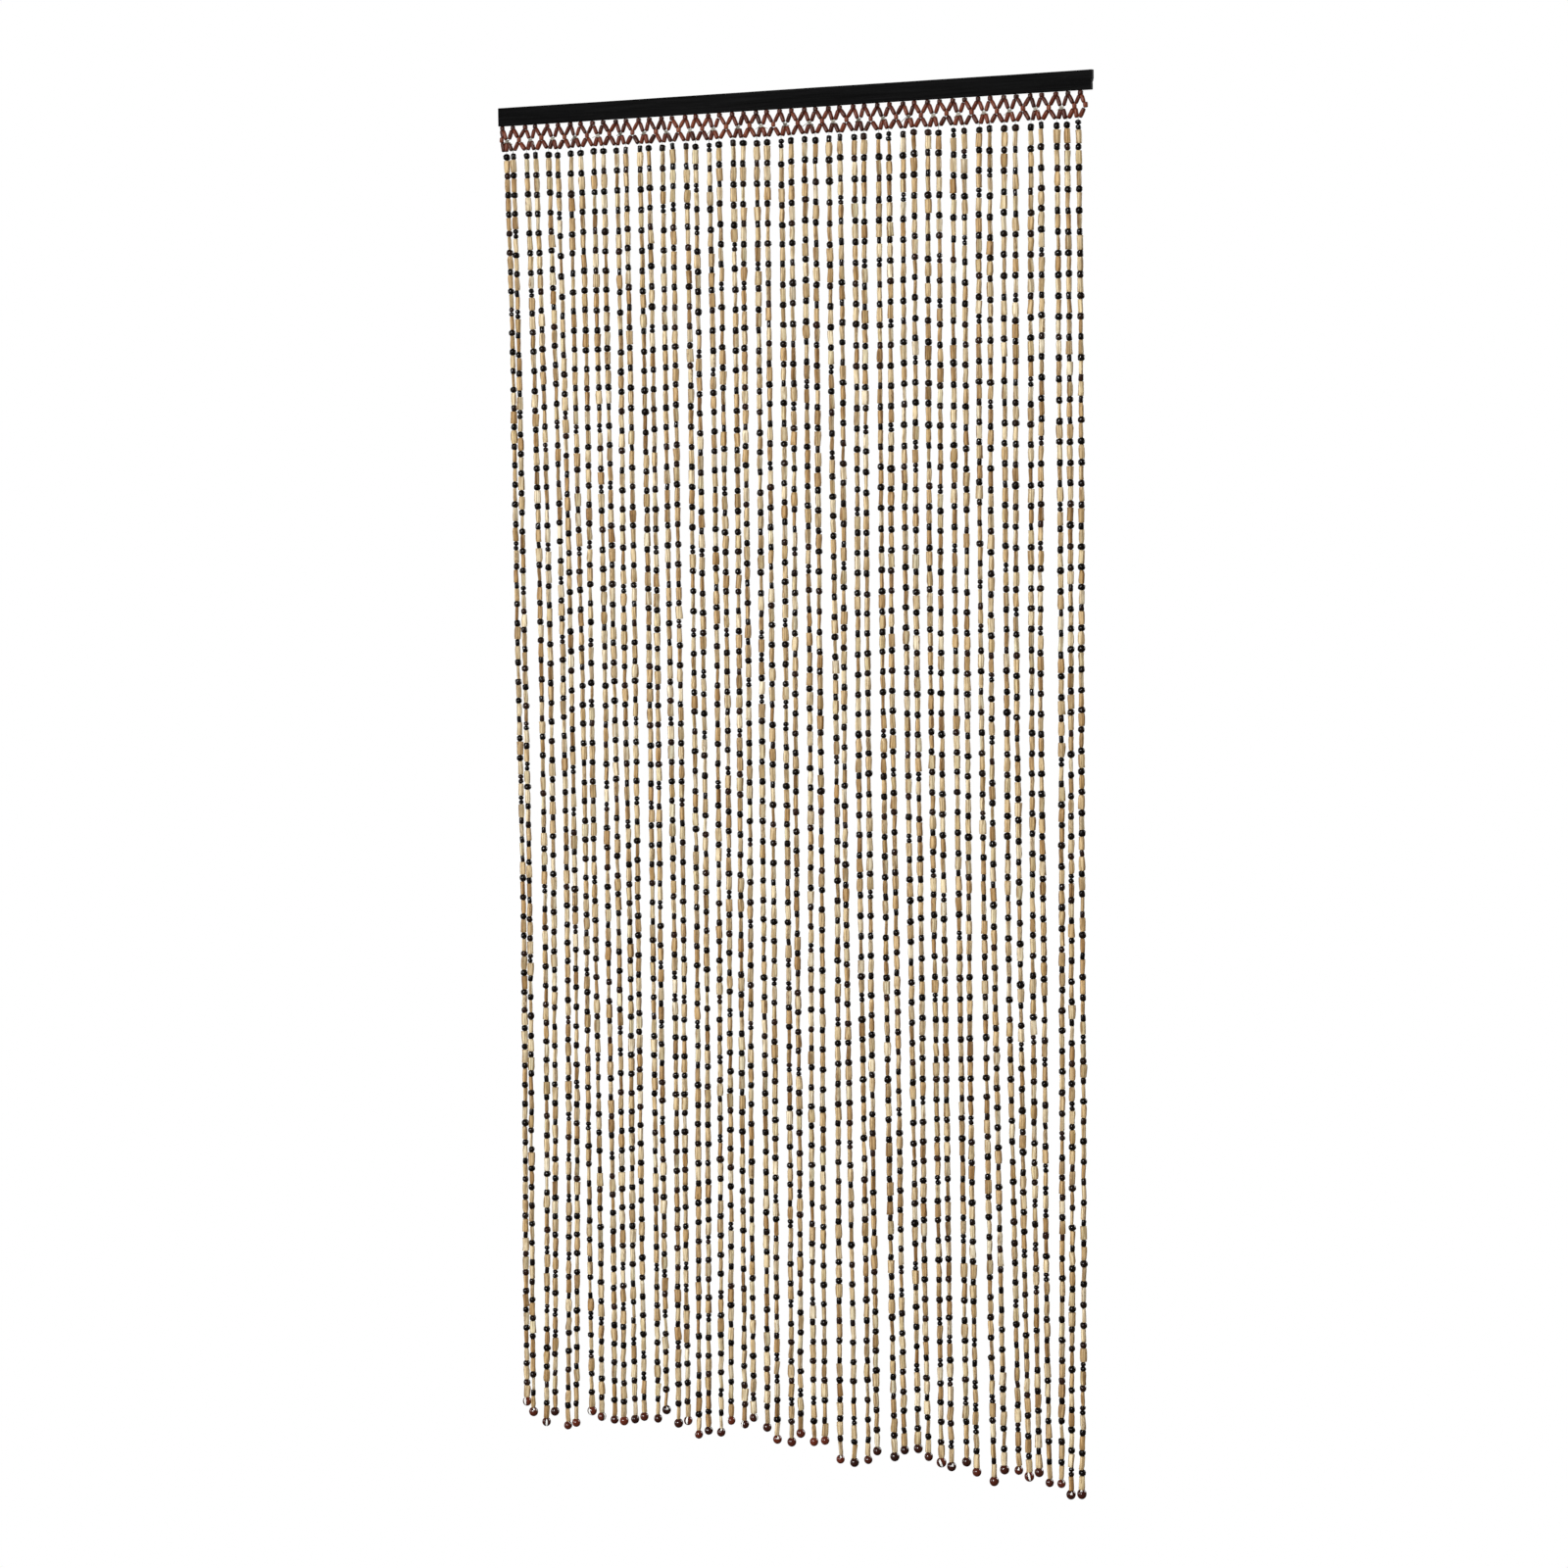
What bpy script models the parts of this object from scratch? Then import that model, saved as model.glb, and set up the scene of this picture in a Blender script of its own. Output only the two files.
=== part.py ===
# Bead curtain on its header rail: a painted wooden batten, a netted heading of beads under it, and 49
# strings of bamboo pieces and seed beads that hang from the net, each with one large bead at its end.
# Metres, +Z up. The origin is the centre of the rail's top face. The curtain hangs in the XZ plane and
# its front faces -Y.
import math
import random
from collections import namedtuple

import bmesh
import bpy
from mathutils import Vector

RAIL_WIDTH = 1.0
RAIL_HEIGHT = 0.0275
RAIL_DEPTH = 0.007
RAIL_EDGE = 0.0008           # softening of the batten's edges
SEAT_GAP = 0.0003            # between the rail's underside and the net's stems

STRING_COUNT = 49            # 24 pairs and a last single string
PAIR_PITCH = 0.0407
FIRST_PAIR = -0.4840         # middle of the first pair
STEM_SPREAD = 0.0187         # between the two strings of a pair, at the rail
VEE_SPREAD = 0.0168          # the same at the net's lower points
EDGE_COLUMNS = (-0.4965, 0.4880)     # middles of the closed columns at the net's two ends
EDGE_STEM_SHIFTS = (-0.0005, -0.0024)    # how far the outermost stems stand off the even spacing
EDGE_VEE_SHIFTS = (0.0048, -0.0078)      # the same for the outermost strings

STEM_DEPTH = 0.0060          # depths below the rail, down the netted heading
CROSSING_DEPTH = 0.0208      # of a crossing that holds a bead
KNOT_DEPTH = 0.0223          # of a crossing tied in a knot, which is every other one
VEE_DEPTH = 0.0375
STEM_HALF = 0.0033           # half widths: stem bead, long bead at its belly and at its ends, crossings
BEAD_BELLY = 0.0027
BEAD_END = 0.0021
VEE_HALF = 0.0024
COLUMN_HALF = 0.0029
NET_THICKNESS = 0.0056
NARROW_DIAMOND = 0.0165      # a diamond narrower than this has its beads drawn in closer
NET_WANDER = 0.0007          # how unevenly the net is knotted

STRAND_RADIUS = 0.0044       # corner radius of a strand's four-sided section
ROOT_RADIUS = 0.0014         # bare thread where a strand leaves the net
ROOT_LENGTH = 0.0006
ROOT_HOLD = 0.0022           # how far a strand's root reaches up into the net
STRAND_SECTIONS = 7
END_BEAD_HALF = 0.0064       # half the end bead's height, and its corner radius
END_BEAD_RINGS = ((1.35, 0.60), (1.0, 0.40), (0.42, 0.97), (-0.42, 0.97), (-1.0, 0.40))

STRING_WANDER = 0.0014       # sideways and front-to-back wander of a string along its drop
SPLAY = 0.0008               # how far a string's lower end strays from its bunch

# The strings hang in loose bunches, left to right. Sways are sideways, half way down and at the hem, and
# each string's drop is from the rail to the middle of its end bead.
Bunch = namedtuple("Bunch", "middle_sway hem_sway drops")
BUNCHES = (
    Bunch(0.0073, -0.0003, (1.953, 1.968)),
    Bunch(0.0118, -0.0020, (1.981, 1.963, 1.982, 1.976)),
    Bunch(0.0058, 0.0032, (1.954, 1.961, 1.963, 1.963)),
    Bunch(0.0031, 0.0008, (1.958, 1.952, 1.952, 1.937)),
    Bunch(0.0010, -0.0018, (1.955, 1.949)),
    Bunch(0.0020, -0.0068, (1.968, 1.960, 1.960, 1.940)),
    Bunch(-0.0023, -0.0073, (1.943, 1.931, 1.943, 1.959)),
    Bunch(-0.0026, -0.0073, (1.960, 1.945, 1.955, 1.951)),
    Bunch(0.0006, -0.0036, (1.976,)),
    Bunch(-0.0016, 0.0020, (1.978, 1.971, 1.956)),
    Bunch(-0.0007, 0.0066, (1.961, 1.949, 1.944, 1.954)),
    Bunch(-0.0014, 0.0045, (1.960, 1.964, 1.954, 1.967)),
    Bunch(-0.0023, 0.0088, (1.977, 1.958, 1.956, 1.963)),
    Bunch(-0.0049, 0.0001, (1.955, 1.968)),
    Bunch(0.0016, -0.0049, (1.967, 1.981, 1.978)),
)

WANDER_SEED = 49
RAIL_UNDERSIDE = -RAIL_HEIGHT
NET_TOP = RAIL_UNDERSIDE - SEAT_GAP


def make_material(name, color, roughness):
    material = bpy.data.materials.new(name)
    material.use_nodes = True
    shader = material.node_tree.nodes["Principled BSDF"]
    shader.inputs["Base Color"].default_value = (*color, 1.0)
    shader.inputs["Roughness"].default_value = roughness
    shader.inputs["Metallic"].default_value = 0.0
    return material


def side_of(index):
    """-1 for the left string of a pair, 1 for the right one."""
    return -1 if index % 2 == 0 else 1


def pair_middle(index):
    return FIRST_PAIR + PAIR_PITCH * (index // 2)


def net_layout(chance):
    """Stems, crossings and lower points of the net, as (x, z) vectors, a little unevenly knotted."""
    def uneven(x, depth):
        return Vector((x + chance.uniform(-NET_WANDER, NET_WANDER),
                       RAIL_UNDERSIDE - depth + chance.uniform(-NET_WANDER, NET_WANDER)))

    stems = [uneven(pair_middle(i) + side_of(i) * STEM_SPREAD / 2, STEM_DEPTH) for i in range(STRING_COUNT)]
    vees = [uneven(pair_middle(i) + side_of(i) * VEE_SPREAD / 2, VEE_DEPTH) for i in range(STRING_COUNT)]
    for end, stem_shift, vee_shift in zip((0, -1), EDGE_STEM_SHIFTS, EDGE_VEE_SHIFTS):
        stems[end].x += stem_shift
        vees[end].x += vee_shift
    crossings = [uneven((a.x + b.x) / 2, KNOT_DEPTH if i % 2 == 0 else CROSSING_DEPTH)
                 for i, (a, b) in enumerate(zip(stems, stems[1:]))]
    crossings.insert(0, uneven(EDGE_COLUMNS[0], CROSSING_DEPTH))
    crossings.append(uneven(EDGE_COLUMNS[1], CROSSING_DEPTH))
    return stems, crossings, vees


def inset_corner(before, corner, after, width):
    """The corner moved inwards until both of its sides are `width` away."""
    u = (before - corner).normalized()
    v = (after - corner).normalized()
    return corner + (u + v).normalized() * (width / math.sin(u.angle(v) / 2))


def belly(start, end, towards, share=1.0):
    """The widest point of the long bead from start to end, on the side that faces `towards`."""
    middle = (start + end) / 2
    across = Vector((start.y - end.y, end.x - start.x)).normalized()
    if across.dot(towards - middle) < 0:
        across.negate()
    return middle + across * BEAD_BELLY * share


def net_hole(stem, left, right, vee):
    """The diamond under one stem, drawn in by the bellies of its four long beads."""
    corners = (stem, right, vee, left)
    middle = (left + right) / 2
    share = min(1.0, (right.x - left.x) / NARROW_DIAMOND)
    outline = []
    for i, corner in enumerate(corners):
        following = corners[(i + 1) % 4]
        outline.append(inset_corner(corners[i - 1], corner, following, BEAD_END * share))
        outline.append(belly(corner, following, middle, share))
    return outline


def net_outline(stems, crossings, vees):
    """The net's edge: along the stems from left to right, then back along the lower points."""
    up, down = Vector((0, 1)), Vector((0, -1))
    upper, lower = [], []
    for i, (stem, vee) in enumerate(zip(stems, vees)):
        left, right = crossings[i], crossings[i + 1]
        upper.append(belly(left, stem, left + up))
        for side in (-1, 1):
            corners = [Vector((stem.x + side * STEM_HALF, NET_TOP - STEM_DEPTH / 2)),
                       Vector((stem.x + side * STEM_HALF * 0.75, NET_TOP))]
            upper.extend(corners if side < 0 else reversed(corners))
        upper.append(belly(stem, right, right + up))
        lower.append(belly(left, vee, left + down))
        for side in (-1, 1):
            lower.append(vee + Vector((side * VEE_HALF, -BEAD_END)))
        lower.append(belly(vee, right, right + down))
        if i + 1 < len(stems):
            upper.append(inset_corner(stem, right, stems[i + 1], BEAD_END))
            lower.append(inset_corner(vee, right, vees[i + 1], BEAD_END))
    ends = []
    for crossing, side in ((crossings[0], -1), (crossings[-1], 1)):
        column = [crossing + Vector((side * COLUMN_HALF, height)) for height in (-BEAD_BELLY, BEAD_BELLY)]
        ends.append(column if side < 0 else column[::-1])
    return ends[0] + upper + ends[1] + lower[::-1]


def strand_path(index, vee, chance):
    """Points and section sizes of one string, from its root in the net to its end bead."""
    first = 0
    for bunch in BUNCHES:
        if index < first + len(bunch.drops):
            break
        first += len(bunch.drops)
    sideways = chance.uniform(-STRING_WANDER, STRING_WANDER)
    frontways = chance.uniform(-STRING_WANDER, STRING_WANDER)
    waves = chance.choice((2, 3, 4))
    splay = chance.uniform(-SPLAY, SPLAY)
    bead_height = RAIL_UNDERSIDE - bunch.drops[index - first]
    root_height = vee.y - BEAD_END

    def place(height):
        drop = (root_height - height) / (root_height - bead_height)
        x = vee.x + bunch.middle_sway * 4 * drop * (1 - drop) + bunch.hem_sway * drop * (2 * drop - 1)
        x += splay * drop + sideways * math.sin(math.pi * waves * drop)
        y = frontways * math.sin(math.pi * (waves - 1) * drop)
        return x, y, height

    rings = [(root_height + ROOT_HOLD, ROOT_RADIUS), (root_height - ROOT_LENGTH * 0.8, ROOT_RADIUS)]
    top = root_height - ROOT_LENGTH
    bottom = bead_height + END_BEAD_HALF * END_BEAD_RINGS[0][0]
    for k in range(STRAND_SECTIONS):
        rings.append((top + (bottom - top) * k / STRAND_SECTIONS, STRAND_RADIUS))
    rings += [(bead_height + rise * END_BEAD_HALF, size * END_BEAD_HALF) for rise, size in END_BEAD_RINGS]
    return [(place(height), radius) for height, radius in rings]


def curve_to_mesh(curve_object, name):
    """A closed mesh object in place of a curve object, with its caps welded on."""
    graph = bpy.context.evaluated_depsgraph_get()
    mesh = bpy.data.meshes.new_from_object(curve_object.evaluated_get(graph))
    bm = bmesh.new()
    bm.from_mesh(mesh)
    bmesh.ops.remove_doubles(bm, verts=bm.verts, dist=0.00001)
    bmesh.ops.recalc_face_normals(bm, faces=bm.faces)
    bm.to_mesh(mesh)
    bm.free()
    solid = bpy.data.objects.new(name, mesh)
    solid.matrix_world = curve_object.matrix_world
    bpy.data.objects.remove(curve_object)
    return solid


def add_spline(curve, points, radii=None, cyclic=False):
    spline = curve.splines.new("POLY")
    spline.points.add(len(points) - 1)
    for k, point in enumerate(points):
        spline.points[k].co = (*point, 1.0)
        if radii:
            spline.points[k].radius = radii[k]
    spline.use_cyclic_u = cyclic


def make_rail(parts):
    """The batten: a box with softened edges, its top face at z = 0."""
    bpy.ops.mesh.primitive_cube_add(size=1, location=(0, 0, -RAIL_HEIGHT / 2))
    rail = bpy.context.active_object
    rail.name = "header_rail"
    rail.scale = (RAIL_WIDTH, RAIL_DEPTH, RAIL_HEIGHT)
    bpy.ops.object.transform_apply(location=False, rotation=False, scale=True)
    edges = rail.modifiers.new("Softened edges", "BEVEL")
    edges.width = RAIL_EDGE
    edges.segments = 2
    rail.data.materials.append(make_material("Black paint", (0.008, 0.008, 0.009), 0.5))
    for collection in list(rail.users_collection):
        collection.objects.unlink(rail)
    parts.objects.link(rail)


def make_net(stems, crossings, vees):
    """The netted heading: one flat lattice, upright in the XZ plane, cut through at every diamond."""
    curve = bpy.data.curves.new("Net outline", "CURVE")
    curve.dimensions = "2D"
    curve.fill_mode = "BOTH"
    curve.extrude = NET_THICKNESS / 2
    add_spline(curve, [(p.x, p.y, 0) for p in net_outline(stems, crossings, vees)], cyclic=True)
    for i, (stem, vee) in enumerate(zip(stems, vees)):
        hole = net_hole(stem, crossings[i], crossings[i + 1], vee)
        add_spline(curve, [(p.x, p.y, 0) for p in hole], cyclic=True)
    outline = bpy.data.objects.new("Net outline", curve)
    bpy.context.scene.collection.objects.link(outline)
    outline.rotation_euler = (math.pi / 2, 0, 0)
    bpy.context.view_layer.update()
    return curve_to_mesh(outline, "bead_net_strings")


def make_strands(vees, chance):
    """All the strings, each a four-sided strand that swells into its end bead."""
    curve = bpy.data.curves.new("Strings", "CURVE")
    curve.dimensions = "3D"
    curve.bevel_depth = 1.0
    curve.bevel_resolution = 0
    curve.use_fill_caps = True
    for index, vee in enumerate(vees):
        path = strand_path(index, vee, chance)
        add_spline(curve, [point for point, radius in path], [radius for point, radius in path])
    strands = bpy.data.objects.new("Strings", curve)
    bpy.context.scene.collection.objects.link(strands)
    bpy.context.view_layer.update()
    return curve_to_mesh(strands, "Strings to fuse")


def make_curtain(parts, cutters):
    """Net and strings as one solid: the net is the backing, and each string is fused to it at its root."""
    chance = random.Random(WANDER_SEED)
    stems, crossings, vees = net_layout(chance)
    net = make_net(stems, crossings, vees)
    strands = make_strands(vees, chance)
    parts.objects.link(net)
    cutters.objects.link(strands)
    strands.hide_render = True
    strands.display_type = "WIRE"
    fuse = net.modifiers.new("Strings fused at their roots", "BOOLEAN")
    fuse.operation = "UNION"
    fuse.object = strands
    net.data.materials.append(make_material("Beads on thread", (0.42, 0.29, 0.15), 0.5))


def main():
    for old in list(bpy.data.objects):
        bpy.data.objects.remove(old)
    parts = bpy.data.collections.new("Bead curtain")
    cutters = bpy.data.collections.new("Guides")
    for collection in (parts, cutters):
        bpy.context.scene.collection.children.link(collection)
    make_rail(parts)
    make_curtain(parts, cutters)


main()
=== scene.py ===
import math
import random

import bmesh
import bpy
import numpy as np
from mathutils import Matrix, Vector


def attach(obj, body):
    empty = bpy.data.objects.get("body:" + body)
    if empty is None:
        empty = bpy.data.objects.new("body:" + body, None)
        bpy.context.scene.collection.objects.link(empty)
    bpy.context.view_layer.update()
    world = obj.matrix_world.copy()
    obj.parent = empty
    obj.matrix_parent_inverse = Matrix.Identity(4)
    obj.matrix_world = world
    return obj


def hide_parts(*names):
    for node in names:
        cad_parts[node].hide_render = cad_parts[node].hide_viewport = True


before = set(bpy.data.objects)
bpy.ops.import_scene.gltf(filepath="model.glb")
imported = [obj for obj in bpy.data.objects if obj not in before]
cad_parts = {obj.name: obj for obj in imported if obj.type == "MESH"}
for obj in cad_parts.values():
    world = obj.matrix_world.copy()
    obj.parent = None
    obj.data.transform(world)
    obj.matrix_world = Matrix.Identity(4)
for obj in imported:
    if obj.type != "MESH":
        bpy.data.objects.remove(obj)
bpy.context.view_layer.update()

mm = 0.001
scene = bpy.context.scene


# Camera, light and floor

camera = {
    "aim": (-0.0111, 0.0, -1.0065),     # point of the curtain behind the middle of the picture
    "azimuth": 31.2,                    # degrees round from the front, towards the right
    "elevation": 4.72,
    "roll": -0.65,
    "distance": 5.888,
    "lens": 92.2,
    "sensor": 36.0,
    "clipEnd": 100.0,
}

studio = {
    "floorLevel": -2.06,                # just below the longest string
    "floorSize": 80.0,
    "white": 1.0,                       # what the camera sees of the backdrop and the floor
    "softFront": 0.42,                  # light of the surroundings, on the lit side and away from it
    "softBack": 0.11,
    "softFrom": (-0.15, -0.90, 0.40),
    "mirrored": 0.11,                   # share of that light that gloss shows, as the room is dim
    "lightTarget": (0.0, 0.0, -0.9),
    # where each soft light stands, its width and its power
    "lights": (("keyLight", (0.8, -14.4, 3.3), 2.3, 1800.0),
               ("sideLight", (-4.6, -3.4, -0.8), 1.8, 70.0),
               ("backLight", (2.6, 4.2, 0.2), 2.4, 150.0)),
}


def placeCamera():
    azimuth, elevation, roll = (math.radians(camera[k]) for k in ("azimuth", "elevation", "roll"))
    back = Vector((math.sin(azimuth) * math.cos(elevation), -math.cos(azimuth) * math.cos(elevation),
                   math.sin(elevation)))
    level = Vector((math.cos(azimuth), math.sin(azimuth), 0.0))
    upright = back.cross(level)
    right = level * math.cos(roll) + upright * math.sin(roll)
    up = upright * math.cos(roll) - level * math.sin(roll)
    data = bpy.data.cameras.new("photoCamera")
    data.lens = camera["lens"]
    data.sensor_width = camera["sensor"]
    data.clip_end = camera["clipEnd"]
    holder = bpy.data.objects.new("photoCamera", data)
    turn = Matrix((right, up, back)).transposed().to_4x4()
    holder.matrix_world = Matrix.Translation(Vector(camera["aim"]) + back * camera["distance"]) @ turn
    scene.collection.objects.link(holder)
    scene.camera = holder


def placeLights():
    target = Vector(studio["lightTarget"])
    for name, place, width, power in studio["lights"]:
        data = bpy.data.lights.new(name, "AREA")
        data.shape = "SQUARE"
        data.size = width
        data.energy = power
        lamp = bpy.data.objects.new(name, data)
        lamp.location = place
        lamp.rotation_euler = (target - Vector(place)).to_track_quat("-Z", "Y").to_euler()
        scene.collection.objects.link(lamp)


def makeBackdrop():
    # plain white where the camera looks at it, and softer as a light, from the front more than from behind
    world = bpy.data.worlds.new("paleStudio")
    scene.world = world
    world.use_nodes = True
    nodes, links = world.node_tree.nodes, world.node_tree.links
    nodes.clear()
    kinds = ("TexCoord", "VectorMath", "MapRange", "LightPath", "MapRange", "Math", "Background",
             "Background", "MixShader", "OutputWorld")
    place, dot, spread, ray, dim, level, seen, soft, mix, out = (nodes.new("ShaderNode" + k) for k in kinds)
    dot.operation = "DOT_PRODUCT"
    dot.inputs[1].default_value = Vector(studio["softFrom"]).normalized()
    links.new(place.outputs["Generated"], dot.inputs[0])
    links.new(dot.outputs["Value"], spread.inputs["Value"])
    spread.inputs["From Min"].default_value = -1.0
    spread.inputs["To Min"].default_value = studio["softBack"]
    spread.inputs["To Max"].default_value = studio["softFront"]
    dim.inputs["To Min"].default_value = 1.0
    dim.inputs["To Max"].default_value = studio["mirrored"]
    level.operation = "MULTIPLY"
    links.new(ray.outputs["Is Glossy Ray"], dim.inputs["Value"])
    links.new(spread.outputs[0], level.inputs[0])
    links.new(dim.outputs[0], level.inputs[1])
    links.new(level.outputs[0], soft.inputs["Strength"])
    seen.inputs["Strength"].default_value = studio["white"]
    for background in (seen, soft):
        background.inputs["Color"].default_value = (1.0, 1.0, 1.0, 1.0)
    links.new(ray.outputs["Is Camera Ray"], mix.inputs[0])
    links.new(soft.outputs[0], mix.inputs[1])
    links.new(seen.outputs[0], mix.inputs[2])
    links.new(mix.outputs[0], out.inputs[0])
    scene.view_settings.view_transform = "Standard"


# Shader maths as plain expressions

class Channel:
    # one shader socket that takes part in arithmetic: every operator adds its node to the tree
    def __init__(self, finish, socket):
        self.finish = finish
        self.socket = socket

    def wide(self):
        return self.socket.type in ("VECTOR", "RGBA")

    def blendWith(self, operation, other, flipped=False):
        first, second = (other, self) if flipped else (self, other)
        wide = any(isinstance(v, Channel) and v.wide() or isinstance(v, tuple) for v in (first, second))
        kind = "ShaderNodeVectorMath" if wide else "ShaderNodeMath"
        if wide:
            first, second = (v if isinstance(v, (Channel, tuple)) else (v, v, v) for v in (first, second))
        return self.finish.add(kind, {"operation": operation}, {0: first, 1: second})

    def __add__(self, other):
        return self.blendWith("ADD", other)

    def __radd__(self, other):
        return self.blendWith("ADD", other, True)

    def __sub__(self, other):
        return self.blendWith("SUBTRACT", other)

    def __rsub__(self, other):
        return self.blendWith("SUBTRACT", other, True)

    def __mul__(self, other):
        return self.blendWith("MULTIPLY", other)

    def __truediv__(self, other):
        return self.blendWith("DIVIDE", other)

    def __pow__(self, power):
        return self.blendWith("POWER", power)

    def __gt__(self, edge):
        return self.blendWith("GREATER_THAN", edge)

    def __lt__(self, edge):
        return self.blendWith("LESS_THAN", edge)

    def __abs__(self):
        return self.finish.add("ShaderNodeMath", {"operation": "ABSOLUTE"}, {0: self})

    def ease(self, low, high):
        # 0 below low, 1 above high, smooth between
        return self.finish.add("ShaderNodeMapRange", {"interpolation_type": "SMOOTHSTEP"},
                               {"Value": self, "From Min": low, "From Max": high}, "Result")

    def part(self, letter):
        if self.socket.type == "RGBA":
            return self.finish.add("ShaderNodeSeparateColor", {}, {"Color": self},
                                   {"r": "Red", "g": "Green", "b": "Blue"}[letter])
        return self.finish.add("ShaderNodeSeparateXYZ", {}, {"Vector": self}, letter.upper())


class Finish:
    # one material: its node tree and Principled shader
    def __init__(self, name, **constants):
        self.material = bpy.data.materials.new(name)
        self.material.use_nodes = True
        self.tree = self.material.node_tree
        self.shader = self.tree.nodes["Principled BSDF"]
        for words, value in constants.items():
            self.shader.inputs[words.replace("_", " ")].default_value = value

    def put(self, socket, value):
        if isinstance(value, Channel):
            self.tree.links.new(value.socket, socket)
        elif isinstance(value, tuple) and socket.type == "RGBA":
            socket.default_value = (*value[:3], 1.0)
        else:
            socket.default_value = value

    def add(self, kind, settings, values, output=0):
        node = self.tree.nodes.new(kind)
        for key, value in settings.items():
            if key == "stops":
                ramp = node.color_ramp
                while len(ramp.elements) < len(value):
                    ramp.elements.new(0.5)
                for element, (place, colour) in zip(ramp.elements, value):
                    element.position = place
                    element.color = (*colour, 1.0)
            else:
                setattr(node, key, value)
        for key, value in values.items():
            self.put(node.inputs[key], value)
        return Channel(self, node.outputs[output])

    def attribute(self, name, output):
        return self.add("ShaderNodeAttribute", {"attribute_name": name}, {}, output)

    def noise(self, place, scale, detail=3.0, rough=0.55):
        return self.add("ShaderNodeTexNoise", {}, {"Vector": place, "Scale": scale, "Detail": detail,
                                                   "Roughness": rough}, "Fac")

    def ramp(self, value, stops):
        return self.add("ShaderNodeValToRGB", {"stops": stops}, {"Fac": value}, "Color")

    def mix(self, factor, first, second):
        node = self.tree.nodes.new("ShaderNodeMix")
        node.data_type = "RGBA"
        for socket, value in ((node.inputs[0], factor), (node.inputs[6], first), (node.inputs[7], second)):
            self.put(socket, value)
        return Channel(self, node.outputs[2])

    def wear(self, colour, roughness, bump, strength, depth):
        self.put(self.shader.inputs["Base Color"], colour)
        self.put(self.shader.inputs["Roughness"], roughness)
        values = {"Strength": strength, "Distance": depth, "Height": bump}
        self.put(self.shader.inputs["Normal"], self.add("ShaderNodeBump", {}, values, "Normal"))
        return self.material


# Where the net is knotted and how each string hangs: the same plan as the solids

rail = {"width": 1.0, "height": 0.0275, "depth": 0.007}

plan = {
    "strings": 49,
    "pairPitch": 0.0407,
    "firstPair": -0.4840,
    "stemSpread": 0.0187,
    "veeSpread": 0.0168,
    "edgeColumns": (-0.4965, 0.4880),
    "edgeStemShifts": (-0.0005, -0.0024),
    "edgeVeeShifts": (0.0048, -0.0078),
    "stemDepth": 0.0060,
    "crossingDepth": 0.0208,            # of a crossing that holds a bead
    "knotDepth": 0.0223,                # of every other crossing, which is tied in a knot
    "veeDepth": 0.0375,
    "netWander": 0.0007,
    "beadEnd": 0.0021,
    "rootLength": 0.0006,
    "stringWander": 0.0014,
    "splay": 0.0008,
    "endBeadHalf": 0.0064,
    "seed": 49,
}

# for each loose bunch of strings: its sway half way down and at the hem, and how far each string drops
bunches = (
    (0.0073, -0.0003, (1.953, 1.968)),
    (0.0118, -0.0020, (1.981, 1.963, 1.982, 1.976)),
    (0.0058, 0.0032, (1.954, 1.961, 1.963, 1.963)),
    (0.0031, 0.0008, (1.958, 1.952, 1.952, 1.937)),
    (0.0010, -0.0018, (1.955, 1.949)),
    (0.0020, -0.0068, (1.968, 1.960, 1.960, 1.940)),
    (-0.0023, -0.0073, (1.943, 1.931, 1.943, 1.959)),
    (-0.0026, -0.0073, (1.960, 1.945, 1.955, 1.951)),
    (0.0006, -0.0036, (1.976,)),
    (-0.0016, 0.0020, (1.978, 1.971, 1.956)),
    (-0.0007, 0.0066, (1.961, 1.949, 1.944, 1.954)),
    (-0.0014, 0.0045, (1.960, 1.964, 1.954, 1.967)),
    (-0.0023, 0.0088, (1.977, 1.958, 1.956, 1.963)),
    (-0.0049, 0.0001, (1.955, 1.968)),
    (0.0016, -0.0049, (1.967, 1.981, 1.978)),
)


def sideOf(index):
    return -1 if index % 2 == 0 else 1


def pairMiddle(index):
    return plan["firstPair"] + plan["pairPitch"] * (index // 2)


def netLayout(chance):
    wander = plan["netWander"]

    def uneven(x, depth):
        return Vector((x + chance.uniform(-wander, wander), 0.0,
                       -rail["height"] - depth + chance.uniform(-wander, wander)))

    indices = range(plan["strings"])
    stems = [uneven(pairMiddle(i) + sideOf(i) * plan["stemSpread"] / 2, plan["stemDepth"]) for i in indices]
    vees = [uneven(pairMiddle(i) + sideOf(i) * plan["veeSpread"] / 2, plan["veeDepth"]) for i in indices]
    for end, stemShift, veeShift in zip((0, -1), plan["edgeStemShifts"], plan["edgeVeeShifts"]):
        stems[end].x += stemShift
        vees[end].x += veeShift
    crossings = [uneven((a.x + b.x) / 2, plan["knotDepth" if i % 2 == 0 else "crossingDepth"])
                 for i, (a, b) in enumerate(zip(stems, stems[1:]))]
    crossings.insert(0, uneven(plan["edgeColumns"][0], plan["crossingDepth"]))
    crossings.append(uneven(plan["edgeColumns"][1], plan["crossingDepth"]))
    return stems, crossings, vees


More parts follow.
